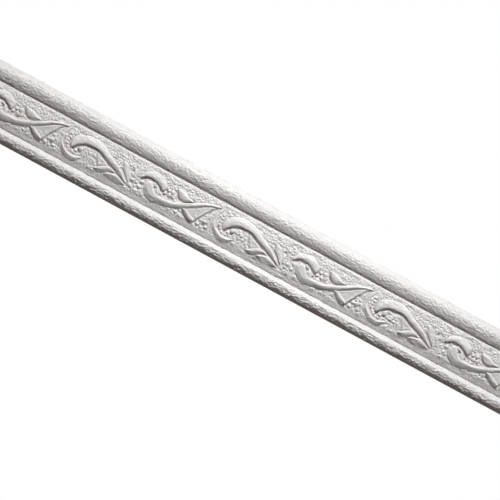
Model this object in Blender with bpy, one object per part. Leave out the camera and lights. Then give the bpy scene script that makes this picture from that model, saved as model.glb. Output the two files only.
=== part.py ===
"""Self-adhesive wall moulding: an embossed foam strip with two beads and a running leaf scroll.

Metres, +Z up. The strip runs along X, its width is along Z and its front faces -Y. The origin is the
centre of the back, on the adhesive backing's outer face.
"""

import math

import bmesh
import bpy
from mathutils import Matrix

MM = 0.001

# Driving dimensions, in millimetres
STRIP_WIDTH = 80.0
STRIP_THICKNESS = 8.0
REPEAT_LENGTH = 185.0
REPEATS = 4
BACKING_THICKNESS = 0.4
BACKING_INSET = 0.5
FIT_GAP = 0.3

# The cross-section, in millimetres along the width or over the foam's back
UPPER_BEAD_WIDTH = 17.4
LOWER_BEAD_WIDTH = 15.3
EDGE_WALL_HEIGHT = 1.2
UPPER_FOOT_HEIGHT = 5.2
LOWER_FOOT_HEIGHT = 1.7
CHANNEL_DROP_WIDTH = 1.3
CHANNEL_WIDTH = 1.3
CHANNEL_HEIGHT = 2.1
UPPER_LIP_WIDTH = 2.1
LOWER_MARGIN_WIDTH = 7.0
BAND_UPPER_HEIGHT = 3.9
BAND_CROWN_HEIGHT = 4.95
BAND_LOWER_HEIGHT = 4.0

# A bead's crown as a share of its width from the edge, and the powers of its outer and inner falls
UPPER_CROWN = 0.62
LOWER_CROWN = 0.64
OUTER_FALL = 2.5
UPPER_INNER_FALL = 1.6
LOWER_INNER_FALL = 2.0
BEAD_STEPS = 6
BAND_STEPS = 4

# The scroll: a stroke's rise for each millimetre of half width before its height eases it, and its root
RELIEF_SLOPE = 0.9
ROOT_DEPTH = 0.3
STROKE_STEPS = 2
STROKE_ROUND_STEPS = 2
OUTLINE_STEPS = 2
SHARP_ANGLE = math.radians(42)

HALF_WIDTH = STRIP_WIDTH / 2
STRIP_LENGTH = REPEAT_LENGTH * REPEATS
FOAM_BACK = BACKING_THICKNESS + FIT_GAP
FOAM_THICKNESS = STRIP_THICKNESS - FOAM_BACK
UPPER_FOOT_Z = HALF_WIDTH - UPPER_BEAD_WIDTH
LOWER_FOOT_Z = LOWER_BEAD_WIDTH - HALF_WIDTH
CHANNEL_UPPER_Z = UPPER_FOOT_Z - CHANNEL_DROP_WIDTH
CHANNEL_LOWER_Z = CHANNEL_UPPER_Z - CHANNEL_WIDTH
BAND_UPPER_Z = CHANNEL_LOWER_Z - UPPER_LIP_WIDTH
BAND_LOWER_Z = LOWER_FOOT_Z + LOWER_MARGIN_WIDTH
SCROLL_MIDDLE_Z = -1.45

# The scroll's strokes in one repeat, in millimetres: a height, and points of (along, up from the
# scroll's middle, half width)
STROKES = {
    "hook": (2.5, ((7.4, 0.8, 0.6), (8.9, 4.0, 2.1), (12.2, 7.7, 3.5), (17.8, 10.2, 4.3),
                   (24.5, 10.1, 5.2), (30.2, 8.1, 5.2), (34.4, 4.4, 4.0), (35.0, 0.0, 0.8))),
    "head": (2.0, ((23.0, 3.4, 1.6), (27.0, 1.4, 3.0), (30.0, -2.4, 3.4), (33.0, -7.0, 2.0))),
    "stem": (2.4, ((20.2, 3.2, 1.2), (20.4, -0.5, 4.4), (21.5, -4.7, 6.2), (25.4, -9.1, 6.0),
                   (31.6, -10.7, 5.1), (40.0, -10.4, 4.2), (48.2, -9.2, 3.7), (62.4, -3.6, 3.4),
                   (70.6, 1.2, 3.1), (81.0, 7.4, 2.7), (90.0, 11.2, 2.2), (100.5, 14.0, 0.5))),
    "spike_leaf": (2.4, ((49.3, 10.2, 0.6), (52.7, 7.6, 3.4), (57.3, 5.3, 4.6), (63.3, 4.4, 3.2),
                         (70.5, 5.0, 0.8))),
    "turned_lip": (2.6, ((63.0, -6.6, 1.0), (67.2, -8.2, 3.0), (71.6, -10.9, 3.6), (75.8, -12.7, 3.2),
                         (79.2, -12.8, 0.9))),
    "crescent": (2.6, ((99.8, -4.0, 0.8), (102.6, -8.8, 2.4), (108.2, -13.2, 3.1), (115.0, -15.2, 3.5),
                       (121.2, -13.8, 2.9), (126.0, -10.0, 0.8))),
    "arch": (2.5, ((112.2, -5.6, 0.5), (112.3, -1.2, 3.2), (114.9, 4.5, 5.2), (121.6, 8.9, 5.6),
                   (131.2, 10.4, 5.2), (141.2, 9.5, 4.7), (152.0, 4.6, 4.0), (161.6, 0.4, 3.6),
                   (170.0, -4.2, 2.7), (182.4, -12.4, 0.5))),
    "rolled_lobe": (2.6, ((143.8, -12.8, 1.0), (149.4, -12.2, 3.4), (155.6, -9.0, 4.0), (160.8, -7.0, 2.9),
                          (165.0, -7.8, 0.8))),
    "half_moon": (2.6, ((156.0, -14.1, 0.8), (160.8, -13.0, 3.3), (167.4, -12.6, 4.6), (174.0, -13.2, 3.5),
                        (180.4, -14.3, 0.8))),
    "fan_leaf": (1.3, ((168.6, 8.8, 0.6), (172.0, 6.6, 2.8), (176.0, 2.0, 3.6), (180.0, -4.0, 2.8),
                       (183.6, -10.4, 0.6))),
}

# The flat leaves in one repeat, in millimetres: a height, and the outline's corners (along, up)
LEAVES = {
    "long_leaf": (1.4, ((63.5, -6.0), (71.5, -1.0), (78.0, 3.2), (84.5, 7.6), (91.0, 10.8), (98.0, 12.8),
                        (91.9, 5.7), (88.8, 1.1), (85.5, -3.8), (83.0, -8.4), (80.2, -13.4),
                        (76.0, -15.4), (70.0, -13.6), (65.0, -9.6))),
    "lobe": (1.1, ((138.6, 4.6), (146.0, 2.2), (152.0, -0.8), (157.0, -4.0), (151.0, -7.6),
                   (145.6, -10.0), (142.4, -5.4))),
}
LEAF_BEVEL = 0.5

# The berries and seeds in one repeat: (along, up from the scroll's middle, radius), in millimetres
BERRIES = ((46.6, 2.6, 3.6), (41.0, 2.0, 2.8), (11.2, -2.2, 2.6), (10.8, -8.0, 2.6), (89.9, -7.8, 3.0),
           (84.6, -13.6, 2.6), (94.0, -12.8, 2.4), (121.6, -2.0, 3.2))
SEEDS = ((106.2, 6.4, 2.2), (106.0, -0.4, 2.2), (117.4, -6.0, 2.2), (129.8, -3.2, 2.4), (135.4, -0.2, 2.5),
         (126.8, -7.6, 2.1), (133.6, -7.4, 2.5), (131.0, -12.9, 2.3))
BALL_HEIGHT = 1.8
BERRY_SIDES = 8
BERRY_RINGS = 6
SEED_SIDES = 6
SEED_RINGS = 4

WELD_DISTANCE = 0.000001
FOAM_COLOUR = (0.82, 0.82, 0.81, 1.0)
FOAM_ROUGHNESS = 0.5
BACKING_COLOUR = (0.84, 0.82, 0.76, 1.0)
BACKING_ROUGHNESS = 0.4


def clear_scene():
    """Removes every object that the scene starts with."""
    for obj in list(bpy.data.objects):
        bpy.data.objects.remove(obj, do_unlink=True)


def new_collection(name):
    """A collection under the scene's own."""
    collection = bpy.data.collections.new(name)
    bpy.context.scene.collection.children.link(collection)
    return collection


def new_material(name, colour, roughness):
    """A plain Principled material."""
    material = bpy.data.materials.new(name)
    material.use_nodes = True
    shader = material.node_tree.nodes["Principled BSDF"]
    shader.inputs["Base Color"].default_value = colour
    shader.inputs["Roughness"].default_value = roughness
    shader.inputs["Metallic"].default_value = 0.0
    return material


def band_height(z):
    """The plain raised band's height over the foam's back: an arc through its two edges and its crown."""
    middle = (BAND_UPPER_Z + BAND_LOWER_Z) / 2
    reach = (BAND_UPPER_Z - BAND_LOWER_Z) / 2
    t = (z - middle) / reach
    edge_mean = (BAND_UPPER_HEIGHT + BAND_LOWER_HEIGHT) / 2
    chord = edge_mean + t * (BAND_UPPER_HEIGHT - BAND_LOWER_HEIGHT) / 2
    return chord + (1 - t * t) * (BAND_CROWN_HEIGHT - edge_mean)


def bead_points(edge_z, foot_z, foot_height, crown, inner_fall):
    """A bead's front, edge to foot: it falls from the crown to each side by a power of the way."""
    crown_z = edge_z + (foot_z - edge_z) * crown
    points = []
    for step in range(BEAD_STEPS):
        way = step / BEAD_STEPS
        drop = (FOAM_THICKNESS - EDGE_WALL_HEIGHT) * (1 - way) ** OUTER_FALL
        points.append((edge_z + (crown_z - edge_z) * way, FOAM_THICKNESS - drop))
    for step in range(BEAD_STEPS + 1):
        way = step / BEAD_STEPS
        drop = (FOAM_THICKNESS - foot_height) * way**inner_fall
        points.append((crown_z + (foot_z - crown_z) * way, FOAM_THICKNESS - drop))
    return points


def section_points():
    """The cross-section as (z, height over the foam's back), from the lower back edge to the upper."""
    lower = bead_points(-HALF_WIDTH, LOWER_FOOT_Z, LOWER_FOOT_HEIGHT, LOWER_CROWN, LOWER_INNER_FALL)
    upper = bead_points(HALF_WIDTH, UPPER_FOOT_Z, UPPER_FOOT_HEIGHT, UPPER_CROWN, UPPER_INNER_FALL)
    channel = [(CHANNEL_LOWER_Z, CHANNEL_HEIGHT), (CHANNEL_UPPER_Z, CHANNEL_HEIGHT)]
    band = []
    for step in range(BAND_STEPS + 1):
        z = BAND_LOWER_Z + (BAND_UPPER_Z - BAND_LOWER_Z) * step / BAND_STEPS
        band.append((z, band_height(z)))
    return [(-HALF_WIDTH, 0.0)] + lower + band + channel + upper[::-1] + [(HALF_WIDTH, 0.0)]


def new_curve(name, collection, kind, points, cyclic):
    """A curve through the points, each (x, y, z) or (x, y, z, radius) in millimetres."""
    data = bpy.data.curves.new(name, "CURVE")
    spline = data.splines.new(kind)
    knots = spline.bezier_points if kind == "BEZIER" else spline.points
    knots.add(len(points) - 1)
    for knot, point in zip(knots, points):
        place = [value * MM for value in point[:3]]
        knot.co = place if kind == "BEZIER" else place + [1.0]
        knot.radius = point[3] * MM if len(point) > 3 else 1.0
        if kind == "BEZIER":
            knot.handle_left_type = knot.handle_right_type = "AUTO"
    spline.use_cyclic_u = cyclic
    curve = bpy.data.objects.new(name, data)
    collection.objects.link(curve)
    bpy.context.view_layer.update()
    return curve


def mesh_from_curve(curve, name, collection):
    """Makes the curve a mesh object in its place, with its caps welded, and removes the curve."""
    graph = bpy.context.evaluated_depsgraph_get()
    mesh = bpy.data.meshes.new_from_object(curve.evaluated_get(graph))
    mesh.name = name
    body = bmesh.new()
    body.from_mesh(mesh)
    bmesh.ops.remove_doubles(body, verts=body.verts, dist=WELD_DISTANCE)
    bmesh.ops.recalc_face_normals(body, faces=body.faces)
    body.to_mesh(mesh)
    body.free()
    made = bpy.data.objects.new(name, mesh)
    made.matrix_world = curve.matrix_world
    curve_data = curve.data
    bpy.data.objects.remove(curve, do_unlink=True)
    bpy.data.curves.remove(curve_data)
    collection.objects.link(made)
    return made


def extruded_outline(name, collection, outline, thickness, kind="POLY", bevel=0.0):
    """A filled flat outline in its own XY plane, extruded to the thickness, all in millimetres."""
    curve = new_curve(name, collection, kind, [(a, b, 0.0) for a, b in outline], True)
    curve.data.dimensions = "2D"
    curve.data.fill_mode = "BOTH"
    curve.data.resolution_u = OUTLINE_STEPS
    curve.data.extrude = (thickness / 2 - bevel) * MM
    curve.data.bevel_depth = bevel * MM
    curve.data.bevel_resolution = 0
    curve.data.offset = -bevel * MM
    bpy.context.view_layer.update()
    return curve


def stand_on_front(mesh, limit):
    """Turns a flat shape to face the front and drapes it over the band, its rise eased to the limit."""
    for vertex in mesh.vertices:
        along, up, out = vertex.co
        z = SCROLL_MIDDLE_Z + up / MM
        rise = limit * math.tanh(out / MM / limit)
        vertex.co = (along, -(FOAM_BACK + band_height(z) - ROOT_DEPTH + rise) * MM, z * MM)


def stroke_mesh(name, height, points, collection):
    """A tapering rounded ridge along the points: a round tube, flattened to its height."""
    curve = new_curve(name, collection, "BEZIER", [(x, up, 0.0, half) for x, up, half in points], False)
    curve.data.dimensions = "3D"
    curve.data.resolution_u = STROKE_STEPS
    curve.data.bevel_depth = 1.0
    curve.data.bevel_resolution = STROKE_ROUND_STEPS
    curve.data.use_fill_caps = True
    bpy.context.view_layer.update()
    made = mesh_from_curve(curve, name, collection)
    made.data.transform(Matrix.Diagonal((1.0, 1.0, RELIEF_SLOPE, 1.0)))
    stand_on_front(made.data, height + ROOT_DEPTH)
    return made


def leaf_mesh(name, height, outline, collection):
    """A flat leaf: its filled outline as a thin plate with a bevelled edge."""
    thickness = 2 * (height + ROOT_DEPTH)
    curve = extruded_outline(name, collection, outline, thickness, "BEZIER", LEAF_BEVEL)
    made = mesh_from_curve(curve, name, collection)
    stand_on_front(made.data, thickness)
    return made


def ball_mesh(name, along, up, radius, sides, rings, collection):
    """A flattened ball for a berry or a seed."""
    body = bmesh.new()
    bmesh.ops.create_uvsphere(body, u_segments=sides, v_segments=rings, radius=radius * MM)
    bmesh.ops.scale(body, vec=(1.0, 1.0, RELIEF_SLOPE), verts=body.verts)
    bmesh.ops.translate(body, vec=(along * MM, up * MM, 0.0), verts=body.verts)
    mesh = bpy.data.meshes.new(name)
    body.to_mesh(mesh)
    body.free()
    mesh.shade_smooth()
    stand_on_front(mesh, BALL_HEIGHT)
    made = bpy.data.objects.new(name, mesh)
    collection.objects.link(made)
    return made


def repeat_shapes(collection):
    """The scroll's shapes for one repeat, each a closed mesh standing on the band's front."""
    shapes = [stroke_mesh(name, height, points, collection) for name, (height, points) in STROKES.items()]
    shapes += [leaf_mesh(name, height, outline, collection) for name, (height, outline) in LEAVES.items()]
    shapes += [ball_mesh("berry", *place, BERRY_SIDES, BERRY_RINGS, collection) for place in BERRIES]
    shapes += [ball_mesh("seed", *place, SEED_SIDES, SEED_RINGS, collection) for place in SEEDS]
    return shapes


def place_repeats(shapes, collection):
    """Copies one repeat's shapes to every repeat of the strip, as shapes that only join the strip."""
    for repeat in range(REPEATS):
        for shape in shapes:
            copy = bpy.data.objects.new(f"{shape.name}_{repeat + 1}", shape.data)
            copy.location.x = (repeat * REPEAT_LENGTH - STRIP_LENGTH / 2) * MM
            copy.hide_render = True
            copy.display_type = "WIRE"
            collection.objects.link(copy)
    for shape in shapes:
        bpy.data.objects.remove(shape, do_unlink=True)


def unite(strip, collection):
    """Unites the strip with every shape of the collection and shades the round forms smooth."""
    union = strip.modifiers.new("scroll", "BOOLEAN")
    union.operation = "UNION"
    union.operand_type = "COLLECTION"
    union.collection = collection
    union.solver = "EXACT"
    bpy.context.view_layer.update()
    graph = bpy.context.evaluated_depsgraph_get()
    mesh = bpy.data.meshes.new_from_object(strip.evaluated_get(graph))
    strip.modifiers.remove(union)
    strip.data = mesh
    mesh.name = strip.name
    mesh.shade_smooth()
    mesh.set_sharp_from_angle(angle=SHARP_ANGLE)


def make_foam_strip(parts, shapes):
    """The moulding: its cross-section run along the length, with the scroll raised on the band."""
    outline = [(FOAM_BACK + height, z) for z, height in section_points()]
    strip = mesh_from_curve(extruded_outline("section", parts, outline, STRIP_LENGTH), "foam_strip", parts)
    # The outline stands in X and Y and runs along Z: it is turned to face the front and run along X.
    strip.data.transform(Matrix(((0, 0, 1, 0), (-1, 0, 0, 0), (0, 1, 0, 0), (0, 0, 0, 1))))
    strip.data.flip_normals()
    place_repeats(repeat_shapes(shapes), shapes)
    unite(strip, shapes)
    strip.data.materials.append(new_material("white_foam", FOAM_COLOUR, FOAM_ROUGHNESS))


def make_adhesive_backing(parts):
    """The adhesive film and its release paper: one thin sheet over the whole back."""
    body = bmesh.new()
    bmesh.ops.create_cube(body, size=1.0)
    size = (STRIP_LENGTH * MM, BACKING_THICKNESS * MM, (STRIP_WIDTH - 2 * BACKING_INSET) * MM)
    bmesh.ops.scale(body, vec=size, verts=body.verts)
    bmesh.ops.translate(body, vec=(0.0, -BACKING_THICKNESS / 2 * MM, 0.0), verts=body.verts)
    mesh = bpy.data.meshes.new("adhesive_backing")
    body.to_mesh(mesh)
    body.free()
    parts.objects.link(bpy.data.objects.new("adhesive_backing", mesh))
    mesh.materials.append(new_material("release_paper", BACKING_COLOUR, BACKING_ROUGHNESS))


def main():
    """Builds the moulding."""
    clear_scene()
    parts = new_collection("wall_moulding")
    shapes = new_collection("scroll_shapes")
    make_foam_strip(parts, shapes)
    make_adhesive_backing(parts)


main()
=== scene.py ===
"""Looks of a self-adhesive wall moulding: white embossed foam with two beads and a running leaf scroll.

The foam's front is one height field, worked out over the whole strip in millimetres and then cut into
lengths that meet edge to edge. The scroll is laid on the band shape by shape, from the back to the front.
"""

import logging
import math
from dataclasses import dataclass, field
from enum import Enum, IntEnum

import bpy
import numpy as np
from mathutils import Matrix, Vector


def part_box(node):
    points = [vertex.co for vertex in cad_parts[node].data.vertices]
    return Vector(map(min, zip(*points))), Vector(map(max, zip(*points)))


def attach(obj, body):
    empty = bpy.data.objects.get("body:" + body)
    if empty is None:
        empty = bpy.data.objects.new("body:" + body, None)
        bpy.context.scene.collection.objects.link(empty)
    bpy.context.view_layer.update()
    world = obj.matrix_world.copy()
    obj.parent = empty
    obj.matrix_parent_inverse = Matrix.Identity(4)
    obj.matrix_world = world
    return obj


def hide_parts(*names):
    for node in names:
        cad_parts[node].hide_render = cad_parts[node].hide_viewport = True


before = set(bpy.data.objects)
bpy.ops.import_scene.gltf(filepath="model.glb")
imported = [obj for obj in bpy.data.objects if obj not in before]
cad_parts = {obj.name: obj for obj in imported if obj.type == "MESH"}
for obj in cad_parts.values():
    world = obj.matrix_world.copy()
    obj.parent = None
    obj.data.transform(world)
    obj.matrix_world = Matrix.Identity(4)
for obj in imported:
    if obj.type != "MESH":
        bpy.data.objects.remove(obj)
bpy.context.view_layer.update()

Array = np.ndarray
Points = tuple[tuple[float, ...], ...]
Colour = tuple[float, float, float]

MM = 0.001
BODY = "root"
FOAM_NODE = "foam_strip"
BACKING_NODE = "adhesive_backing"
LOG = logging.getLogger("moulding")
SHORTEST_WAY = 0.01
FLATTEST_RISE = 1e-9


class Seed(IntEnum):
    """The seeds of the layers of noise, one for each."""

    PEBBLES = 11
    GRANULES = 12
    RUMPLES = 13
    BEAD_WARP = 14
    BEAD_FOLDS = 15
    BEAD_LUMPS = 16
    COARSE_SKIN = 17
    FINE_SKIN = 18
    BEAD_PORES = 19
    GRANULE_DRIFT = 20
    WANDER_ALONG = 21
    WANDER_ACROSS = 22


def ease(share: Array) -> Array:
    """Smooth step from 0 to 1: six times the fifth power less fifteen of the fourth plus ten of the third.

    Args:
        share: Values, read as 0 below 0 and as 1 above 1.

    Returns:
        The eased values.
    """
    t = np.clip(share, 0.0, 1.0)
    return t * t * t * (t * (t * 6.0 - 15.0) + 10.0)


def smooth_path(points: Points, steps: int, closed: bool = False) -> Array:
    """Catmull-Rom curve: spans are cubics whose slope at a point is half the step between its neighbours.

    Args:
        points: The points that the curve passes through, with any number of values each.
        steps: Samples in each span.
        closed: Whether the last point runs on to the first.

    Returns:
        One row of values for each sample.
    """
    knots = np.array(points)
    if closed:
        padded = np.vstack([knots[-1:], knots, knots[:2]])
    else:
        padded = np.vstack([2 * knots[:1] - knots[1:2], knots, 2 * knots[-1:] - knots[-2:-1]])
    before, start, end, after = (padded[i:len(padded) - 3 + i, None] for i in range(4))
    t = (np.arange(steps) / steps)[None, :, None]
    curve = 0.5 * (
        2 * start
        + (end - before) * t
        + (2 * before - 5 * start + 4 * end - after) * t**2
        + (3 * start - before - 3 * end + after) * t**3
    )
    curve = curve.reshape(-1, knots.shape[1])
    return curve if closed else np.vstack([curve, knots[-1:]])


class Noise:
    """Seeded noise over the strip's front, in millimetres along and across.

    The scatter is where in its lattice cell a pebble's middle may lie, as shares of the cell.
    """

    SCATTER = (0.05, 0.95)

    @staticmethod
    def smooth(x: Array, z: Array, pitch_x: float, pitch_z: float, seed: int) -> Array:
        """Random heights on a lattice, joined by the quintic ease in both directions.

        Args:
            x: Places along the strip.
            z: Places across it.
            pitch_x: Lattice step along.
            pitch_z: Lattice step across.
            seed: Seed of the lattice.

        Returns:
            Values from -1 to 1.
        """
        along, across = (x - x.min()) / pitch_x, (z - z.min()) / pitch_z
        i, j = np.floor(along).astype(int), np.floor(across).astype(int)
        lattice = np.random.default_rng(seed).uniform(-1.0, 1.0, (i.max() + 2, j.max() + 2))
        right, top = ease(along - i), ease(across - j)
        low = lattice[i, j] * (1 - right) + lattice[i + 1, j] * right
        high = lattice[i, j + 1] * (1 - right) + lattice[i + 1, j + 1] * right
        return low * (1 - top) + high * top

    @classmethod
    def pebbles(cls, x: Array, z: Array, pitch: float, seed: int, flank: float) -> Array:
        """Cobbles: the distance to the second nearest scattered point less that to the nearest, eased.

        Args:
            x: Places along the strip.
            z: Places across it.
            pitch: Mean distance between pebbles.
            seed: Seed of the scattered points, one in each lattice cell.
            flank: Share of the pitch over which a pebble rises out of its seam.

        Returns:
            Values from 0 in the seams between pebbles to 1 on their backs.
        """
        along, across = (x - x.min()) / pitch + 1.0, (z - z.min()) / pitch + 1.0
        i, j = np.floor(along).astype(int), np.floor(across).astype(int)
        middles = np.random.default_rng(seed).uniform(*cls.SCATTER, (i.max() + 2, j.max() + 2, 2))
        nearest = np.full(along.shape, np.inf)
        second = nearest.copy()
        for di in (-1, 0, 1):
            for dj in (-1, 0, 1):
                middle = middles[i + di, j + dj]
                distance = np.hypot(i + di + middle[..., 0] - along, j + dj + middle[..., 1] - across)
                second = np.minimum(second, np.maximum(nearest, distance))
                nearest = np.minimum(nearest, distance)
        return ease((second - nearest) / flank)


@dataclass(frozen=True)
class Section:
    """The strip's cross-section, in millimetres from the foam's back and from the middle of the width."""

    half_width: float
    thickness: float
    upper_bead: float = 17.4
    lower_bead: float = 15.3
    upper_crown: float = 0.62
    lower_crown: float = 0.64
    upper_inside: float = 1.6
    lower_inside: float = 2.0
    roundness: float = 2.5
    edge_wall: float = 1.2
    upper_foot: float = 5.2
    channel_floor: float = 2.1
    channel_drop: float = 1.3
    channel_width: float = 1.3
    upper_lip: float = 2.1
    lower_groove: float = 1.7
    lower_margin: float = 7.0
    band_upper: float = 3.9
    band_crown: float = 4.95
    band_lower: float = 4.0
    sampling: int = 60

    @property
    def band_top_z(self) -> float:
        """The band's upper edge, past the upper bead, its channel and the lip."""
        return self.half_width - self.upper_bead - self.channel_drop - self.channel_width - self.upper_lip

    @property
    def band_foot_z(self) -> float:
        """The band's lower edge, over the lower bead and the margin."""
        return self.lower_bead + self.lower_margin - self.half_width

    def bead(self, edge_z: float, foot_z: float, foot: float, crown: float, inside: float) -> Array:
        """A bead's front from its edge to its foot: a power curve falls from the crown to each side.

        Args:
            edge_z: The strip's edge.
            foot_z: Where the bead ends inside.
            foot: The height there.
            crown: Where the crown lies, as a share of the way from the edge to the foot.
            inside: Power of the inner side's curve.

        Returns:
            Rows of (z, height).
        """
        crown_z = edge_z + (foot_z - edge_z) * crown
        share = np.linspace(0, 1, self.sampling)
        outer = self.thickness - (self.thickness - self.edge_wall) * (1 - share) ** self.roundness
        inner = self.thickness - (self.thickness - foot) * share**inside
        z = np.concatenate([edge_z + (crown_z - edge_z) * share[:-1], crown_z + (foot_z - crown_z) * share])
        return np.stack([z, np.concatenate([outer[:-1], inner])], axis=1)

    def band(self) -> Array:
        """The raised band: an arc over the straight line between its two edges.

        Returns:
            Rows of (z, height).
        """
        t = np.linspace(-1, 1, self.sampling)
        low, high = self.band_foot_z, self.band_top_z
        mean = (self.band_upper + self.band_lower) / 2
        height = mean + t * (self.band_upper - self.band_lower) / 2 + (1 - t * t) * (self.band_crown - mean)
        return np.stack([(low + high) / 2 + t * (high - low) / 2, height], axis=1)

    def front(self, spacing: float) -> Array:
        """The whole front from the lower edge to the upper, at even steps of its own length.

        Args:
            spacing: The step.

        Returns:
            Rows of (z, height).
        """
        edge = self.half_width
        lower_foot_z = self.lower_bead - edge
        upper_foot_z = edge - self.upper_bead
        lower = self.bead(-edge, lower_foot_z, self.lower_groove, self.lower_crown, self.lower_inside)
        upper = self.bead(edge, upper_foot_z, self.upper_foot, self.upper_crown, self.upper_inside)
        channel = np.array([[self.band_top_z + self.upper_lip, self.channel_floor],
                            [upper_foot_z - self.channel_drop, self.channel_floor]])
        line = np.vstack([lower, self.band(), channel, upper[::-1]])
        run = np.concatenate([[0.0], np.cumsum(np.hypot(*np.diff(line, axis=0).T))])
        even = np.linspace(0, run[-1], int(run[-1] / spacing) + 1)
        return np.stack([np.interp(even, run, line[:, 0]), np.interp(even, run, line[:, 1])], axis=1)


class Flank(Enum):
    """How a ridge's sides meet the band: the share of its height that is lost on the way to the edge."""

    STEP = 0.8
    FADE = 1.0


class Laying(Enum):
    """Whether a shape covers what lies under it, or runs into whatever stands higher."""

    OVER = "over"
    MELT = "melt"


@dataclass(frozen=True)
class Edge:
    """How a shape's outline meets its surroundings, in millimetres.

    The moat is the depth of the valley along its lower edges and reach the valley's width. The turn is the
    width over which the outline becomes the surface.
    """

    moat: float = 0.5
    reach: float = 1.2
    turn: float = 1.0


@dataclass
class Relief:
    """The height of one repeat's scroll over the band, as shapes are laid on it from back to front.

    The band's texture fades in across a shape's outline and is whole past the clearance. A valley begins
    where the way out points up by the level share, and is whole where it points down by the rest of the
    valley turn. The melt rounds the crease where two shapes run into each other.
    """

    x: Array
    z: Array
    clearance: float = 0.8
    clearance_fade: float = 1.2
    melt: float = 0.1
    level_share: float = 0.5
    valley_turn: float = 1.2
    height: Array = field(init=False)
    bare: Array = field(init=False)

    def __post_init__(self) -> None:
        """Starts with a bare band."""
        self.height = np.zeros_like(self.x)
        self.bare = np.ones_like(self.x)

    def near(self, points: Array, margin: float) -> Array:
        """The places inside the points' box widened by the margin, as a mask."""
        low, high = points[:, :2].min(axis=0) - margin, points[:, :2].max(axis=0) + margin
        return (self.x > low[0]) & (self.x < high[0]) & (self.z > low[1]) & (self.z < high[1])

    def lay(self, where: Array, surface: Array, outside: Array, down: Array, edge: Edge,
            depth: Array | float, laying: Laying) -> None:
        """Lays a shape: its surface inside, and outside a valley where the way out points down.

        Args:
            where: Mask of the places that the other arrays stand for.
            surface: The shape's height at each place.
            outside: Distance from the shape's outline, negative inside it.
            down: How far down the way out from the shape points, from -1 to 1.
            edge: How the outline meets its surroundings.
            depth: Depth of the valley at the outline.
            laying: With MELT the surface is a rounded maximum: half of the two heights' sum and of the root
                of their squared difference plus a little.
        """
        cover = ease(-outside / edge.turn)
        if laying is Laying.MELT:
            under = self.height[where]
            surface = (under + surface + np.sqrt((under - surface) ** 2 + self.melt)) / 2
            depth = depth * self.bare[where]
        facing = ease((down + self.level_share) / self.valley_turn)
        valley = depth * facing * np.exp(-((np.maximum(outside, 0.0) / edge.reach) ** 2))
        self.height[where] = (self.height[where] - valley) * (1 - cover) + surface * cover
        self.bare[where] *= 1 - ease((self.clearance - outside) / self.clearance_fade)


@dataclass(frozen=True)
class Stroke:
    """A tapering ridge along a curve: points of (along, up from the band's middle, half width, crest).

    The crest is a share of the half width from the middle line, positive to the left of the course. The
    power says how the flanks fall: 1 gives a roof, and 2 a rounded back. A negative height makes a furrow,
    which sinks into what is there.
    """

    points: Points
    height: float
    edge: Edge = Edge()
    flank: Flank = Flank.STEP
    power: float = 2.0
    laying: Laying = Laying.OVER
    steps: int = 10
    margin: float = 3.0
    thinning: float = 0.5

    def lay_on(self, relief: Relief) -> None:
        """Lays the ridge on the relief, or sinks the furrow.

        The surface falls from the crest to each edge by a power of the share of the way there. A thin
        stretch is lower than a broad one, and its valley is shallower.

        Args:
            relief: The relief to change.
        """
        path = smooth_path(self.points, self.steps)
        where = relief.near(path, path[:, 2].max() + self.margin)
        start, run = path[:-1], np.diff(path, axis=0)
        dx = relief.x[where][:, None] - start[:, 0]
        dz = relief.z[where][:, None] - start[:, 1]
        share = np.clip((dx * run[:, 0] + dz * run[:, 1]) / (run[:, 0] ** 2 + run[:, 1] ** 2), 0.0, 1.0)
        off_x, off_z = dx - share * run[:, 0], dz - share * run[:, 1]
        distance = np.hypot(off_x, off_z)
        half = start[:, 2] + share * run[:, 2]
        crest = start[:, 3] + share * run[:, 3]
        side = np.sign(run[:, 0] * dz - run[:, 1] * dx)
        best = np.argmin(distance - half, axis=1)[:, None]
        distance, half, crest, side, off_z = (np.take_along_axis(values, best, axis=1)[:, 0]
                                              for values in (distance, half, crest, side, off_z))
        if self.height < 0:
            relief.height[where] += self.height * (1 - ease(distance / half))
            return
        across = np.clip(side * distance / half, -1.0, 1.0)
        way = np.abs(across - crest) / np.where(across > crest, 1 - crest, 1 + crest)
        surface = self.height * half / (half + self.thinning) * (1 - self.flank.value * way**self.power)
        depth = self.edge.moat * half / (half + 2 * self.thinning)
        down = -off_z / np.maximum(distance, SHORTEST_WAY)
        relief.lay(where, surface, distance - half, down, self.edge, depth, self.laying)


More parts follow.
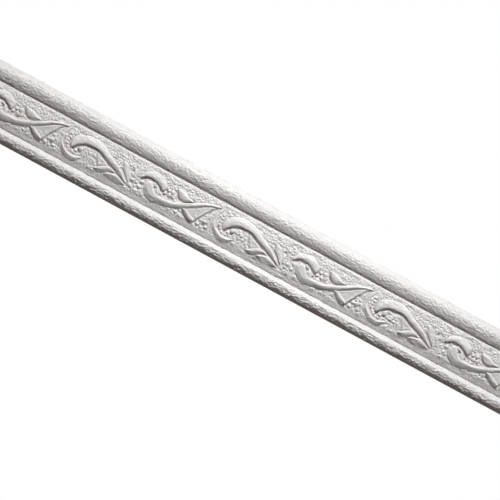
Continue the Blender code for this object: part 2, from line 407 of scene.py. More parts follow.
@dataclass(frozen=True)
class Leaf:
    """A flat leaf inside a smooth outline of (along, up from the band's middle), with a rim and a dish."""

    points: Points
    height: float
    dish: float = 0.3
    edge: Edge = Edge()
    steps: int = 6
    margin: float = 3.0
    rim: float = 1.4
    rim_share: float = 0.45
    dish_run: float = 2.5

    def lay_on(self, relief: Relief) -> None:
        """Lays the leaf on the relief.

        A place is inside when a line from it crosses the outline an odd number of times. The surface rises
        over the rim's width and then sinks by the dish towards the middle.

        Args:
            relief: The relief to change.
        """
        path = smooth_path(self.points, self.steps, closed=True)
        where = relief.near(path, self.margin)
        start, run = path, np.roll(path, -1, axis=0) - path
        dx = relief.x[where][:, None] - start[:, 0]
        dz = relief.z[where][:, None] - start[:, 1]
        share = np.clip((dx * run[:, 0] + dz * run[:, 1]) / (run[:, 0] ** 2 + run[:, 1] ** 2), 0.0, 1.0)
        off_x, off_z = dx - share * run[:, 0], dz - share * run[:, 1]
        distance = np.hypot(off_x, off_z)
        best = np.argmin(distance, axis=1)[:, None]
        distance, off_z = (np.take_along_axis(values, best, axis=1)[:, 0] for values in (distance, off_z))
        level = np.where(np.abs(run[:, 1]) < FLATTEST_RISE, FLATTEST_RISE, run[:, 1])
        crossed = ((dz >= 0) != (dz >= run[:, 1])) & (dx < dz * run[:, 0] / level)
        outside = np.where(crossed.sum(axis=1) % 2 == 1, -distance, distance)
        inward = np.maximum(-outside, 0.0)
        surface = self.height * (1 - self.rim_share * (1 - ease(inward / self.rim)))
        surface -= self.dish * ease((inward - self.rim) / self.dish_run)
        down = -off_z / np.maximum(distance, SHORTEST_WAY)
        relief.lay(where, surface, outside, down, self.edge, self.edge.moat, Laying.OVER)


@dataclass(frozen=True)
class Berry:
    """A round bump at (along, up from the band's middle)."""

    along: float
    up: float
    radius: float
    height: float
    foot: float = 0.15
    edge: Edge = Edge(moat=0.4, turn=1.3)

    def lay_on(self, relief: Relief) -> None:
        """Lays the bump on the relief: its height falls by the squared share of the radius to a low foot.

        Args:
            relief: The relief to change.
        """
        where = relief.near(np.array([[self.along, self.up]]), self.radius + 2 * self.edge.reach)
        distance = np.hypot(relief.x[where] - self.along, relief.z[where] - self.up)
        share = np.clip(distance / self.radius, 0.0, 1.0)
        surface = self.height * (1 - (1 - self.foot) * share**2)
        down = (self.up - relief.z[where]) / np.maximum(distance, SHORTEST_WAY)
        relief.lay(where, surface, distance - self.radius, down, self.edge, self.edge.moat, Laying.MELT)


@dataclass(frozen=True)
class Dimple:
    """A soft pit, or with a negative depth a soft swelling, in whatever lies at (along, up)."""

    along: float
    up: float
    radius: float
    depth: float

    def lay_on(self, relief: Relief) -> None:
        """Sinks the pit: its depth eases out to nothing at the radius.

        Args:
            relief: The relief to change.
        """
        where = relief.near(np.array([[self.along, self.up]]), self.radius)
        distance = np.hypot(relief.x[where] - self.along, relief.z[where] - self.up)
        relief.height[where] -= self.depth * (1 - ease(distance / self.radius))


@dataclass(frozen=True)
class Patch:
    """An oval of coarse granules: its middle and its reach along and up, in the scroll's own places."""

    along: float
    up: float
    reach_along: float
    reach_up: float


# The scroll's shapes, in millimetres from the start of a repeat and from the band's middle
LONG_LEAF = (
    Leaf(((63.5, -6.0), (71.5, -1.0), (78.0, 3.2), (84.5, 7.6), (91.0, 10.8), (98.0, 12.8), (95.2, 9.8),
          (91.9, 5.7), (88.8, 1.1), (85.5, -3.8), (83.0, -8.4), (80.2, -13.4), (76.0, -15.4), (70.0, -13.6),
          (65.0, -9.6)), height=1.5, dish=0.4, edge=Edge(moat=0.6, reach=2.4, turn=2.2)),
    Stroke(((63.0, -6.6, 1.0, 0.4), (67.2, -8.2, 3.0, 0.5), (71.6, -10.9, 3.6, 0.52),
            (75.8, -12.7, 3.2, 0.5), (79.2, -12.8, 0.9, 0.3)),
           height=3.8, edge=Edge(moat=0.3), flank=Flank.FADE, power=1.4),
)
SPIKE_LEAF = (
    Stroke(((49.3, 10.2, 0.6, 0.2), (52.7, 7.6, 3.4, 0.3), (57.3, 5.3, 4.8, 0.35), (63.3, 4.4, 3.2, 0.3),
            (70.5, 5.0, 0.8, 0.0)), height=2.6, edge=Edge(moat=1.4, reach=1.8, turn=1.6)),
)
STEM = (
    Stroke(((23.0, 3.4, 1.6, 0.0), (27.0, 1.4, 3.0, 0.1), (30.0, -2.4, 3.4, 0.1), (33.0, -7.0, 2.0, 0.0)),
           height=2.3, edge=Edge(moat=0.0), laying=Laying.MELT),
    Stroke(((20.4, 3.2, 1.2, 0.0), (20.6, -0.5, 4.6, 0.0), (21.5, -4.7, 6.8, 0.1), (25.4, -9.1, 6.4, 0.2),
            (31.6, -10.7, 5.1, 0.36), (40.0, -10.4, 4.2, 0.4), (48.2, -9.2, 3.7, 0.38),
            (55.3, -6.4, 3.6, 0.28), (62.4, -3.6, 3.4, 0.2), (70.6, 1.2, 3.1, 0.1), (81.0, 7.4, 2.7, 0.1),
            (90.0, 11.2, 2.2, 0.1), (96.5, 13.1, 1.5, 0.0), (100.5, 14.0, 0.5, 0.0)),
           height=3.8, edge=Edge(moat=0.4, reach=1.6), flank=Flank.FADE, power=1.5, laying=Laying.MELT,
           thinning=1.5),
    Dimple(24.4, 2.2, 2.4, -0.7),
    Dimple(18.6, 1.0, 2.6, -0.4),
    Dimple(20.0, -5.0, 3.0, -0.3),
    Dimple(26.5, -0.9, 2.6, 2.8),
)
HOOK = (
    Stroke(((7.4, 0.8, 0.6, -0.1), (8.9, 4.0, 2.1, -0.2), (12.2, 7.7, 3.5, -0.3), (17.8, 10.2, 4.3, -0.35),
            (24.5, 10.1, 5.2, -0.3), (30.2, 8.1, 5.2, -0.2), (34.4, 4.4, 4.0, -0.1), (35.0, 0.0, 0.8, 0.0)),
           height=2.6, edge=Edge(moat=1.9, reach=3.0, turn=1.7)),
)
CRESCENT = (
    Stroke(((104.5, 15.6, 0.8, 0.2), (100.8, 10.6, 2.2, 0.2), (98.4, 4.5, 2.2, 0.2), (98.6, -2.5, 2.6, 0.3),
            (101.6, -8.6, 3.2, 0.4), (108.0, -13.0, 2.6, 0.4), (114.0, -15.0, 0.8, 0.4)),
           height=0.8, edge=Edge(moat=0.2), flank=Flank.FADE),
    Stroke(((99.8, -4.0, 0.8, 0.3), (102.6, -8.8, 2.4, 0.4), (108.2, -13.2, 3.1, 0.46),
            (115.0, -15.2, 3.5, 0.5), (121.2, -13.8, 2.9, 0.46), (126.0, -10.0, 0.8, 0.3)),
           height=2.5, edge=Edge(moat=0.0), flank=Flank.FADE, power=1.3, laying=Laying.MELT),
)
LOBES = (
    Leaf(((138.6, 4.6), (146.0, 2.2), (152.0, -0.8), (157.0, -4.0), (151.0, -7.6), (145.6, -10.0),
          (142.4, -5.4)), height=1.1, dish=0.5, edge=Edge(moat=0.3, turn=2.0), rim=2.4),
    Stroke(((143.8, -12.8, 1.0, 0.3), (149.4, -12.2, 3.6, 0.46), (155.6, -9.0, 4.2, 0.5),
            (160.8, -7.0, 2.9, 0.48), (165.0, -7.8, 0.8, 0.2)), height=3.5, edge=Edge(moat=0.2),
           flank=Flank.FADE, power=1.4),
    Stroke(((156.0, -14.1, 0.8, 0.3), (160.8, -13.0, 3.3, 0.52), (167.4, -12.6, 4.7, 0.56),
            (174.0, -13.2, 3.5, 0.52), (180.4, -14.3, 0.8, 0.3)), height=2.9, edge=Edge(moat=0.0),
           flank=Flank.FADE, power=1.1),
)
ARCH = (
    Stroke(((112.2, -5.6, 0.5, -0.2), (112.3, -1.2, 3.2, -0.3), (114.9, 4.5, 5.4, -0.4),
            (121.6, 8.9, 5.6, -0.45), (131.2, 10.4, 5.2, -0.45), (141.2, 9.5, 4.7, -0.4),
            (152.0, 4.6, 4.0, -0.1), (161.6, 0.4, 3.6, 0.3), (170.0, -4.2, 2.7, 0.5),
            (177.6, -9.2, 1.5, 0.4), (182.4, -12.4, 0.5, 0.0)), height=2.7,
           edge=Edge(moat=1.5, reach=2.0, turn=1.7)),
)
FAN_LEAF = (
    Stroke(((168.6, 8.8, 0.6, -0.1), (172.0, 6.6, 2.8, -0.2), (176.0, 2.0, 3.8, -0.2),
            (180.0, -4.0, 3.0, -0.2), (183.6, -10.4, 0.6, 0.0)),
           height=1.2, edge=Edge(moat=0.0), flank=Flank.FADE, laying=Laying.MELT),
    Stroke(((169.8, 1.6, 0.6, 0.0), (175.6, -3.8, 1.5, 0.0), (182.2, -9.6, 0.6, 0.0)), height=-1.6),
)
BERRIES = (
    Berry(48.0, 0.0, 3.2, 1.3),
    Berry(43.6, -0.6, 2.6, 1.2),
    Berry(46.4, 3.8, 3.0, 1.7),
    Berry(41.4, 3.6, 2.3, 1.3),
    Berry(38.4, -0.4, 2.3, 1.3),
    Berry(34.8, -3.2, 2.1, 0.9),
    Berry(41.6, 8.2, 1.7, 0.9),
    Berry(11.2, -2.2, 2.6, 1.1),
    Berry(10.8, -8.0, 2.6, 1.1),
    Berry(89.9, -7.8, 3.0, 1.5),
    Berry(86.0, -8.0, 2.3, 1.1),
    Berry(84.6, -13.6, 2.6, 1.3),
    Berry(94.0, -12.8, 2.4, 1.4),
    Berry(121.6, -2.0, 3.2, 1.7),
    Berry(117.4, -6.0, 2.1, 1.2),
    Berry(106.4, 8.2, 1.9, 1.0),
    Berry(106.4, 4.4, 1.9, 1.0),
    Berry(105.8, 0.8, 2.0, 1.0),
    Berry(106.2, -2.6, 2.3, 1.2),
    Berry(107.8, -6.2, 1.8, 1.0),
    Berry(111.6, -9.0, 1.7, 0.9),
    Berry(116.8, -9.2, 1.9, 1.0),
)
PITS = (
    Dimple(45.4, -4.8, 2.0, 1.6),
    Dimple(90.0, -12.4, 2.0, 1.5),
    Dimple(121.8, -6.2, 2.4, 1.8),
    Dimple(113.6, -5.6, 2.2, 1.5),
    Dimple(182.8, 4.0, 2.6, 1.8),
)
SCROLL = (*LONG_LEAF, *SPIKE_LEAF, *STEM, *HOOK, *CRESCENT, *LOBES, *ARCH, *FAN_LEAF, *BERRIES, *PITS)
GRANULES = (
    Patch(12.0, -12.0, 8.5, 6.0),
    Patch(56.5, -13.0, 9.0, 5.5),
    Patch(88.5, -8.0, 6.5, 11.0),
    Patch(131.0, -6.5, 10.0, 11.0),
    Patch(109.0, -4.5, 6.5, 6.0),
    Patch(3.5, -7.0, 6.0, 9.0),
    Patch(38.5, 0.0, 6.0, 6.0),
)


@dataclass(frozen=True)
class BandGround:
    """The band's texture in millimetres: pebbles, patches of coarse granules, rumples and a fine skin."""

    pebble_pitch: float = 3.4
    pebble_height: float = 0.6
    pebble_flank: float = 0.7
    granule_pitch: float = 4.4
    granule_height: float = 0.9
    granule_flank: float = 0.8
    granule_drift: float = 0.8
    rumple_pitch: tuple[float, float] = (5.0, 3.4)
    rumple_height: float = 0.4
    coarse_skin_pitch: tuple[float, float] = (4.2, 2.6)
    coarse_skin_height: float = 0.26
    fine_skin_pitch: tuple[float, float] = (1.9, 1.6)
    fine_skin_height: float = 0.13

    def ground(self, x: Array, z: Array, coarse: Array) -> Array:
        """The bare band's texture: pebbles, which give way to granules where it is coarse, and rumples.

        Args:
            x: Places along the strip.
            z: Places across it.
            coarse: Where the granules lie, from 0 to 1.

        Returns:
            Heights to add to the band.
        """
        pebbles = Noise.pebbles(x, z, self.pebble_pitch, Seed.PEBBLES, self.pebble_flank)
        rumple = Noise.smooth(x, z, *self.rumple_pitch, Seed.RUMPLES)
        drift = Noise.smooth(x, z, self.granule_pitch, self.granule_pitch, Seed.GRANULE_DRIFT)
        granules = Noise.pebbles(x + self.granule_drift * rumple, z + self.granule_drift * drift,
                                 self.granule_pitch, Seed.GRANULES, self.granule_flank)
        return (self.pebble_height * pebbles * (1 - coarse) + self.granule_height * granules * coarse
                + self.rumple_height * rumple)

    def skin(self, x: Array, z: Array) -> Array:
        """The uneven skin over ground and scroll alike: two sizes of smooth noise.

        Args:
            x: Places along the strip.
            z: Places across it.

        Returns:
            Heights to add to the band.
        """
        return (self.coarse_skin_height * Noise.smooth(x, z, *self.coarse_skin_pitch, Seed.COARSE_SKIN)
                + self.fine_skin_height * Noise.smooth(x, z, *self.fine_skin_pitch, Seed.FINE_SKIN))


@dataclass(frozen=True)
class BeadGrain:
    """Creased leather grain of the two beads, in millimetres."""

    warp_pitch: tuple[float, float] = (9.0, 5.0)
    fold_pitch: tuple[float, float] = (4.2, 1.8)
    fold_warp: float = 1.6
    fold_depth: float = 0.42
    lump_pitch: tuple[float, float] = (2.5, 1.5)
    lump_warp: float = 1.2
    lump_depth: float = 0.3
    fine_pitch: tuple[float, float] = (1.4, 1.0)
    fine_depth: float = 0.1
    lower_gain: float = 1.3

    def depth(self, x: Array, z: Array) -> Array:
        """Folds where warped, drawn out noise crosses zero, with lumps and a finer grain between them.

        Args:
            x: Places along the strip.
            z: Places across it.

        Returns:
            Depth of the grain, from 0, deeper on the lower bead.
        """
        warp = Noise.smooth(x, z, *self.warp_pitch, Seed.BEAD_WARP)
        folds = Noise.smooth(x, z + self.fold_warp * warp, *self.fold_pitch, Seed.BEAD_FOLDS)
        lumps = Noise.smooth(x + self.lump_warp * warp, z, *self.lump_pitch, Seed.BEAD_LUMPS)
        fine = Noise.smooth(x, z, *self.fine_pitch, Seed.BEAD_PORES)
        depth = (self.fold_depth * (1 - np.abs(folds)) ** 2 + self.lump_depth * (1 + lumps)
                 + self.fine_depth * (1 + fine))
        return depth * np.where(z < 0, self.lower_gain, 1.0)


class SurfaceGrain:
    """Shared effect of the foam and of the paper: fine pores over slow, soft clouds."""

    NAME = "surface_grain"
    PORE_DETAIL = 2.0
    CLOUD_DETAIL = 4.0

    @classmethod
    def group(cls) -> bpy.types.NodeTree:
        """Makes the group the first time, and gives the same one after that.

        Returns:
            A group that takes a place and two scales, and gives a mask of clouds and a height of pores.
        """
        if cls.NAME in bpy.data.node_groups:
            return bpy.data.node_groups[cls.NAME]
        tree = bpy.data.node_groups.new(cls.NAME, "ShaderNodeTree")
        sockets = tree.interface
        sockets.new_socket("Place", in_out="INPUT", socket_type="NodeSocketVector")
        sockets.new_socket("Pore Scale", in_out="INPUT", socket_type="NodeSocketFloat")
        sockets.new_socket("Cloud Scale", in_out="INPUT", socket_type="NodeSocketFloat")
        sockets.new_socket("Clouds", in_out="OUTPUT", socket_type="NodeSocketFloat")
        sockets.new_socket("Pores", in_out="OUTPUT", socket_type="NodeSocketFloat")
        inside, outside = tree.nodes.new("NodeGroupInput"), tree.nodes.new("NodeGroupOutput")
        for scale, result, detail in (("Pore Scale", "Pores", cls.PORE_DETAIL),
                                      ("Cloud Scale", "Clouds", cls.CLOUD_DETAIL)):
            noise = tree.nodes.new("ShaderNodeTexNoise")
            noise.inputs["Detail"].default_value = detail
            tree.links.new(inside.outputs["Place"], noise.inputs["Vector"])
            tree.links.new(inside.outputs[scale], noise.inputs["Scale"])
            tree.links.new(noise.outputs["Fac"], outside.inputs[result])
        return tree


@dataclass(frozen=True)
class Finish:
    """A pale matt surface whose colour and roughness drift between two values, with fine pores.

    An attribute of painted shade, where a mesh has it, pulls the colour towards the darker, warmer shade
    colour.
    """

    name: str
    colour: Colour
    cloud_colour: Colour
    # Colour of the shade painted into the front's low places.
    painted_shade_colour: Colour
    roughness: tuple[float, float]
    coat: float
    pore_scale: float
    cloud_scale: float
    pore_strength: float
    pore_depth: float = 0.1 * MM

    def material(self) -> bpy.types.Material:
        """Makes the material on Object coordinates.

        Returns:
            A Principled material.
        """
        material = bpy.data.materials.new(self.name)
        material.use_nodes = True
        nodes, links = material.node_tree.nodes, material.node_tree.links
        shader = nodes["Principled BSDF"]
        shader.inputs["Coat Weight"].default_value = self.coat
        place = nodes.new("ShaderNodeTexCoord")
        grain = nodes.new("ShaderNodeGroup")
        grain.node_tree = SurfaceGrain.group()
        grain.inputs["Pore Scale"].default_value = self.pore_scale
        grain.inputs["Cloud Scale"].default_value = self.cloud_scale
        links.new(place.outputs["Object"], grain.inputs["Place"])
        clouds = self.blend(nodes, self.colour, self.cloud_colour)
        links.new(grain.outputs["Clouds"], clouds.inputs["Factor"])
        # Painted shade: where the foam's front lies low, the base colour is pulled darker and warmer.
        painted_hollow_shade = self.blend(nodes, self.colour, self.painted_shade_colour)
        hollow = nodes.new("ShaderNodeAttribute")
        hollow.attribute_name = "hollow"
        links.new(hollow.outputs["Fac"], painted_hollow_shade.inputs["Factor"])
        links.new(clouds.outputs["Result"], painted_hollow_shade.inputs["A"])
        links.new(painted_hollow_shade.outputs["Result"], shader.inputs["Base Color"])
        gloss = nodes.new("ShaderNodeMapRange")
        gloss.inputs["To Min"].default_value, gloss.inputs["To Max"].default_value = self.roughness
        links.new(grain.outputs["Clouds"], gloss.inputs["Value"])
        links.new(gloss.outputs["Result"], shader.inputs["Roughness"])
        bump = nodes.new("ShaderNodeBump")
        bump.inputs["Strength"].default_value = self.pore_strength
        bump.inputs["Distance"].default_value = self.pore_depth
        links.new(grain.outputs["Pores"], bump.inputs["Height"])
        links.new(bump.outputs["Normal"], shader.inputs["Normal"])
        return material

    @staticmethod
    def blend(nodes: bpy.types.Nodes, first: Colour, second: Colour) -> bpy.types.ShaderNodeMix:
        """A colour mix node between two colours.

        Args:
            nodes: Where the node goes.
            first: Colour at factor 0.
            second: Colour at factor 1.

        Returns:
            The node.
        """
        mix = nodes.new("ShaderNodeMix")
        mix.data_type = "RGBA"
        mix.inputs["A"].default_value = (*first, 1.0)
        mix.inputs["B"].default_value = (*second, 1.0)
        return mix


# The foam's third colour is painted shade for its hollows. The paper's third colour equals its own colour,
# so it paints none.
FOAM_SKIN = Finish("white_foam_skin", colour=(0.81, 0.82, 0.82), cloud_colour=(0.79, 0.80, 0.80),
                   painted_shade_colour=(0.74, 0.70, 0.67), roughness=(0.44, 0.58), coat=0.0, pore_scale=1500.0,
                   cloud_scale=60.0, pore_strength=0.25)
RELEASE_PAPER = Finish("pale_release_paper", colour=(0.84, 0.82, 0.76), cloud_colour=(0.78, 0.76, 0.69),
                       painted_shade_colour=(0.84, 0.82, 0.76), roughness=(0.3, 0.45), coat=0.25, pore_scale=900.0,
                       cloud_scale=25.0, pore_strength=0.15)


@dataclass
class FoamStrip:
    """The embossed foam: beads, grooves, band and scroll, in lengths of one repeat each.

    A repeat has so many columns of points, with a point at each spacing across the front. The wander
    moves the scroll's outlines a little. Patches of granules end and fade by shares of their reach. The
    band's texture fades out at its edges, and rises from a share of itself on the lower margin. A place
    gets the whole painted shade of the hollows when it lies hollow_depth below the mean over
    hollow_reach. Sizes are in millimetres.
    """

    repeats: int = 4
    columns: int = 430
    spacing: float = 0.46
    scroll_middle: float = -1.45
    wander: float = 0.35
    wander_pitch: float = 6.0
    least_height: float = 0.2
    granule_end: float = 1.25
    granule_fade: float = 0.5
    band_fade_low: float = 2.0
    band_fade_high: float = 0.8
    margin_share: float = 0.4
    margin_rise: float = 4.0
    hollow_reach: float = 3.0
    hollow_depth: float = 1.0
    ground: BandGround = BandGround()
    grain: BeadGrain = BeadGrain()

    def __post_init__(self) -> None:
        """Reads the strip's box from the frame."""
        low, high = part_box(FOAM_NODE)
        self.back = -high[1] / MM
        self.start = low[0] / MM
        self.length = (high[0] - low[0]) / MM
        self.repeat_length = self.length / self.repeats
        self.section = Section(half_width=high[2] / MM, thickness=(high[1] - low[1]) / MM)

    def scroll(self, z: Array) -> Relief:
        """One repeat's scroll, with its outlines made a little uneven by smooth noise.

        Args:
            z: Places across the strip, from its middle.

        Returns:
            The relief with every shape laid on it.
        """
        x = np.arange(self.columns) * self.repeat_length / self.columns
        grid = np.meshgrid(x, z - self.scroll_middle, indexing="ij")
        pitch = self.wander_pitch
        along, across = (self.wander * Noise.smooth(*grid, pitch, pitch, seed)
                         for seed in (Seed.WANDER_ALONG, Seed.WANDER_ACROSS))
        relief = Relief(grid[0] + along, grid[1] + across)
        for shape in SCROLL:
            shape.lay_on(relief)
        return relief

    def coarse(self, relief: Relief) -> Array:
        """Where the band has granules: each patch fades out round its oval, and the strongest counts.

        Args:
            relief: The relief, for its places.

        Returns:
            Values from 0 to 1.
        """
        mask = np.zeros_like(relief.x)
        for patch in GRANULES:
            for turn in (-self.repeat_length, 0.0, self.repeat_length):
                share = np.hypot((relief.x - patch.along - turn) / patch.reach_along,
                                 (relief.z - patch.up) / patch.reach_up)
                mask = np.maximum(mask, ease((self.granule_end - share) / self.granule_fade))
        return mask

    def surface(self) -> tuple[Array, Array, Array]:
        """The whole front: the section's line run along the strip, with scroll, ground and grain added.

        Returns:
            Grids of x, z and height in millimetres, with the length along the first axis.
        """
        section = self.section
        line = section.front(self.spacing)
        relief = self.scroll(line[:, 0])
        rows = self.columns * self.repeats + 1
        turns = np.arange(rows) % self.columns
        along = self.start + np.arange(rows) * self.length / (rows - 1)
        x, z = np.meshgrid(along, line[:, 0], indexing="ij")
        low = section.band_foot_z - section.lower_margin
        high = section.band_top_z + section.upper_lip
        in_band = ease((z - low) / self.band_fade_low) * ease((high - z) / self.band_fade_high)
        ground = self.ground.ground(x, z, self.coarse(relief)[turns]) * relief.bare[turns]
        rise = ease((z - section.band_foot_z + self.margin_rise / 2) / self.margin_rise)
        ground *= self.margin_share + (1 - self.margin_share) * rise
        height = np.repeat(line[None, :, 1], rows, axis=0)
        height += (relief.height[turns] + ground + self.ground.skin(x, z)) * in_band
        height -= self.grain.depth(x, z) * (1 - in_band)
        return x, z, np.clip(height, self.least_height, section.thickness)

    def painted_hollow_shade(self, height: Array) -> Array:
        """How far each place lies below the mean of its surroundings, as a share from 0 to 1.

        The mean is that of a square, worked out from running sums along each axis in turn. The share sets
        the painted shade.

        Args:
            height: The front's heights.

        Returns:
            The share, 1 at hollow_depth below the mean and deeper.
        """
        mean = height
        for axis, step in ((0, self.repeat_length / self.columns), (1, self.spacing)):
            reach = round(self.hollow_reach / step)
            width = [(0, 0), (0, 0)]
            width[axis] = (reach + 1, reach)
            total = np.cumsum(np.pad(mean, width, mode="edge"), axis=axis)
            span = 2 * reach + 1
            mean = (np.take(total, range(span, total.shape[axis]), axis=axis)
                    - np.take(total, range(total.shape[axis] - span), axis=axis)) / span
        return np.clip((mean - height) / self.hollow_depth, 0.0, 1.0)

    @staticmethod
    def normals(places: Array) -> Array:
        """Outward normals of the whole front: the cross product of its two directions at each place."""
        normal = np.cross(np.gradient(places, axis=0), np.gradient(places, axis=1))
        return normal / np.linalg.norm(normal, axis=-1, keepdims=True)

    def length_mesh(self, index: int, places: Array, normals: Array, hollow: Array) -> bpy.types.Mesh:
        """One length as a closed body: the front grid, a flat back and two square ends.

        Args:
            index: Which length, from 1.
            places: Front points, rows along by columns across, in metres.
            normals: The front's normals at those points.
            hollow: How much shade is painted into the front's colour at those points.

        Returns:
            The mesh, with that share of painted shade as an attribute.
        """
        rows, across = places.shape[:2]
        edges = [places[:, :1].copy(), places[:, -1:].copy()]
        for edge in edges:
            edge[..., 1] = -self.back * MM
        ring = np.concatenate([edges[0], places, edges[1]], axis=1)
        around = across + 2
        number = np.arange(rows * around).reshape(rows, around)
        turned = np.roll(number, -1, axis=1)
        quads = np.stack([number[:-1], number[1:], turned[1:], turned[:-1]], axis=-1).reshape(-1, 4)
        mesh = bpy.data.meshes.new(f"foam_length_{index}")
        ends = [number[0].tolist(), number[-1][::-1].tolist()]
        mesh.from_pydata(ring.reshape(-1, 3), [], quads.tolist() + ends)
        smooth = np.ones(len(mesh.polygons), dtype=bool)
        smooth[-len(ends):] = False
        mesh.polygons.foreach_set("use_smooth", smooth)
        # The share of painted shade goes on the mesh as a point attribute for the material.
        attribute = mesh.attributes.new("hollow", "FLOAT", "POINT")
        attribute.data.foreach_set("value", np.pad(hollow, ((0, 0), (1, 1)), mode="edge").ravel())
        down, up = np.array([0.0, 0.0, -1.0]), np.array([0.0, 0.0, 1.0])
        around_normals = np.concatenate([np.broadcast_to(down, edges[0].shape), normals,
                                         np.broadcast_to(up, edges[1].shape)], axis=1).reshape(-1, 3)
        corner = around_normals[quads]
        is_back = (np.arange(len(quads)) % around) == around - 1
        corner[is_back] = (0.0, 1.0, 0.0)
        split = np.concatenate([corner.reshape(-1, 3), np.tile((-1.0, 0.0, 0.0), (around, 1)),
                                np.tile((1.0, 0.0, 0.0), (around, 1))])
        mesh.normals_split_custom_set(split)
        return mesh

    def build(self, finish: Finish) -> list[bpy.types.Object]:
        """Args:
            finish: The foam's finish.

        Returns:
            One object for each length.
        """
        x, z, height = self.surface()
        places = np.stack([x, -(self.back + height), z], axis=-1) * MM
        normals = self.normals(places)
        # How much shade is painted into the colour at each place, from how far it lies below its
        # surroundings.
        hollow = self.painted_hollow_shade(height)
        material = finish.material()
        lengths = []
        for index in range(self.repeats):
            rows = slice(index * self.columns, (index + 1) * self.columns + 1)
            mesh = self.length_mesh(index + 1, places[rows], normals[rows], hollow[rows])
            mesh.materials.append(material)
            piece = bpy.data.objects.new(mesh.name, mesh)
            bpy.context.scene.collection.objects.link(piece)
            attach(piece, BODY)
            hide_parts(FOAM_NODE)
            lengths.append(piece)
        return lengths


@dataclass(frozen=True)
class Backing:
    """The release paper over the adhesive: the CAD's own flat sheet, dressed."""

    node: str = BACKING_NODE

    def build(self, finish: Finish) -> list[bpy.types.Object]:
        """Gives the sheet its finish.

        Args:
            finish: The paper's finish.

        Returns:
            The sheet.
        """
        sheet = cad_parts[self.node]
        material = finish.material()
        for slot in sheet.material_slots:
            slot.material = material
        return [sheet]


@dataclass(frozen=True)
class PhotoView:
    """The camera: square on to the strip and rolled, from far away."""

    roll: float = math.radians(28.43)
    lens: float = 300.0
    sensor: float = 36.0
    image_pixels: float = 500.0
    mm_per_pixel: float = 1.0712
    aim_x: float = -37.4
    aim_z: float = -12.4
    far_clip: float = 50.0

    def build(self) -> bpy.types.Object:
        """Makes the camera and sets it as the scene's.

        Returns:
            The camera.
        """
        data = bpy.data.cameras.new("photo_camera")
        data.lens = self.lens
        data.sensor_width = self.sensor
        data.clip_end = self.far_clip
        width = self.image_pixels * self.mm_per_pixel * MM
        distance = width * self.lens / self.sensor
        camera = bpy.data.objects.new("photo_camera", data)
        right = Vector((math.cos(self.roll), 0.0, math.sin(self.roll)))
        up = Vector((-math.sin(self.roll), 0.0, math.cos(self.roll)))
        toward = right.cross(up)
        turn = Matrix((right, up, toward)).transposed().to_4x4()
        aim = Vector((self.aim_x * MM, 0.0, self.aim_z * MM))
        camera.matrix_world = Matrix.Translation(aim + toward * distance) @ turn
        bpy.context.scene.collection.objects.link(camera)
        bpy.context.scene.camera = camera
        return camera


@dataclass(frozen=True)
class SoftLight:
    """A square soft light that faces the strip's middle and keeps mostly to the strip.

    The source is the direction to it, the size and the distance are in metres and the power in watts.
    """

    name: str
    source: tuple[float, float, float]
    size: float
    power: float
    distance: float = 2.6
    spread: float = math.radians(50)

    def build(self) -> bpy.types.Object:
        """Makes the light.

        Returns:
            The light's object.
        """
        data = bpy.data.lights.new(self.name, "AREA")
        data.shape = "SQUARE"
        data.size = self.size
        data.energy = self.power
        data.spread = self.spread
        lamp = bpy.data.objects.new(self.name, data)
        direction = Vector(self.source).normalized()
        lamp.location = direction * self.distance
        lamp.rotation_euler = direction.to_track_quat("Z", "Y").to_euler()
        lamp.visible_camera = False
        bpy.context.scene.collection.objects.link(lamp)
        return lamp


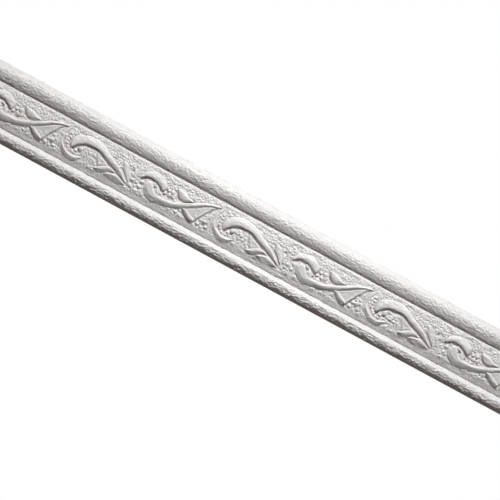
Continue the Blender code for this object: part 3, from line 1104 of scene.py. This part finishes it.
@dataclass(frozen=True)
class Studio:
    """Pale floor and surround as the camera sees them, and soft lights for the front, back and ends."""

    floor_drop: float = 1.1
    floor_size: float = 14.0
    floor_colour: Colour = (0.30, 0.29, 0.28)
    floor_seen: Colour = (0.80, 0.80, 0.79)
    seen_white: Colour = (1.0, 1.0, 1.0)
    surround: float = 0.124
    surround_colour: Colour = (1.0, 0.75, 0.66)
    lights: tuple[SoftLight, ...] = (
        SoftLight("key", source=(-0.072, -0.61, 0.79), size=0.35, power=4.55),
        SoftLight("fill", source=(0.0, -0.7, 0.7), size=2.0, power=1.8),
        SoftLight("back", source=(0.2, 0.92, 0.33), size=0.8, power=3.3),
        SoftLight("left_end", source=(-1.0, 0.5, 0.2), size=0.8, power=2.0),
        SoftLight("right_end", source=(1.0, 0.5, 0.2), size=0.8, power=2.0),
    )

    def build(self) -> None:
        """Makes the floor, the surround and the lights."""
        self.make_floor()
        self.make_surround()
        for light in self.lights:
            light.build()
        bpy.context.scene.view_settings.view_transform = "Standard"

    def make_floor(self) -> None:
        """A square floor well below the strip, pale to the camera wherever the lights fall."""
        half = self.floor_size / 2
        mesh = bpy.data.meshes.new("floor")
        corners = [(-half, -half), (half, -half), (half, half), (-half, half)]
        mesh.from_pydata([(x, y, -self.floor_drop) for x, y in corners], [], [(0, 1, 2, 3)])
        floor = bpy.data.objects.new("floor", mesh)
        bpy.context.scene.collection.objects.link(floor)
        material = bpy.data.materials.new("pale_floor")
        material.use_nodes = True
        nodes = material.node_tree.nodes
        nodes["Principled BSDF"].inputs["Base Color"].default_value = (*self.floor_colour, 1.0)
        seen = nodes.new("ShaderNodeEmission")
        seen.inputs["Color"].default_value = (*self.floor_seen, 1.0)
        self.show_camera(material.node_tree, nodes["Principled BSDF"].outputs["BSDF"],
                         seen.outputs["Emission"], nodes["Material Output"].inputs["Surface"])
        mesh.materials.append(material)

    def make_surround(self) -> None:
        """White to the camera, and dimmer and a little warm as light."""
        world = bpy.data.worlds.new("studio")
        world.use_nodes = True
        nodes = world.node_tree.nodes
        light = nodes["Background"]
        light.inputs["Color"].default_value = (*self.surround_colour, 1.0)
        light.inputs["Strength"].default_value = self.surround
        seen = nodes.new("ShaderNodeBackground")
        seen.inputs["Color"].default_value = (*self.seen_white, 1.0)
        self.show_camera(world.node_tree, light.outputs["Background"], seen.outputs["Background"],
                         nodes["World Output"].inputs["Surface"])
        bpy.context.scene.world = world

    @staticmethod
    def show_camera(tree: bpy.types.NodeTree, lit: bpy.types.NodeSocket, seen: bpy.types.NodeSocket,
                    output: bpy.types.NodeSocket) -> None:
        """Shows the camera one shader while everything else gets the light of another.

        Args:
            tree: The node tree that holds the shaders.
            lit: Shader for the light that falls on things.
            seen: Shader that the camera sees.
            output: Where the result goes.
        """
        path = tree.nodes.new("ShaderNodeLightPath")
        mix = tree.nodes.new("ShaderNodeMixShader")
        tree.links.new(path.outputs["Is Camera Ray"], mix.inputs["Fac"])
        tree.links.new(lit, mix.inputs[1])
        tree.links.new(seen, mix.inputs[2])
        tree.links.new(mix.outputs["Shader"], output)


def main() -> None:
    """Builds the camera, the studio and the moulding, and reports each piece."""
    logging.basicConfig(level=logging.INFO, format="%(message)s")
    PhotoView().build()
    Studio().build()
    for piece in FoamStrip().build(FOAM_SKIN) + Backing().build(RELEASE_PAPER):
        LOG.info("%s: %d faces, %s", piece.name, len(piece.data.polygons), piece.material_slots[0].name)


if __name__ == "__main__":
    main()
